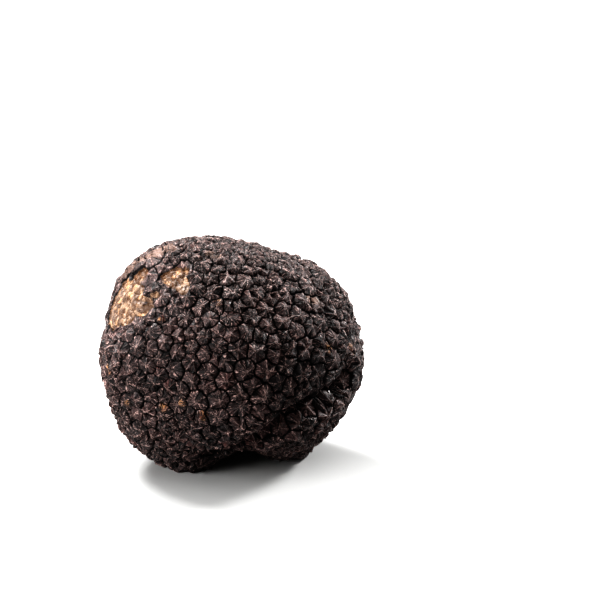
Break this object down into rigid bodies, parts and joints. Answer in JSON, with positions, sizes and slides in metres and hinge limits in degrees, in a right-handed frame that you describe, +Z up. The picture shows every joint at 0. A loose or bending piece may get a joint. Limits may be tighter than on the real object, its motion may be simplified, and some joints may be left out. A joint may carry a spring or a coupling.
{
  "type": "black truffle",
  "caption": "Whole black truffle, a rounded lumpy tuber with pyramid-shaped warts, a hollow under its front and scraped patches of pale flesh; rests on pressed feet.",
  "frame": {"origin": "middle of the truffle's outline, on the plane that its feet rest on", "axes": "+Z up, -Y towards the front with the belly and the hollow under it, +X to the right flank"},
  "size_m": [0.0526, 0.048, 0.0454],
  "materials": {
    "skin": "matte brown-black warty rind, with pale cream and tan flesh where it is scraped"
  },
  "bodies": {
    "root": {"truffle": "skin"}
  },
  "joints": []
}
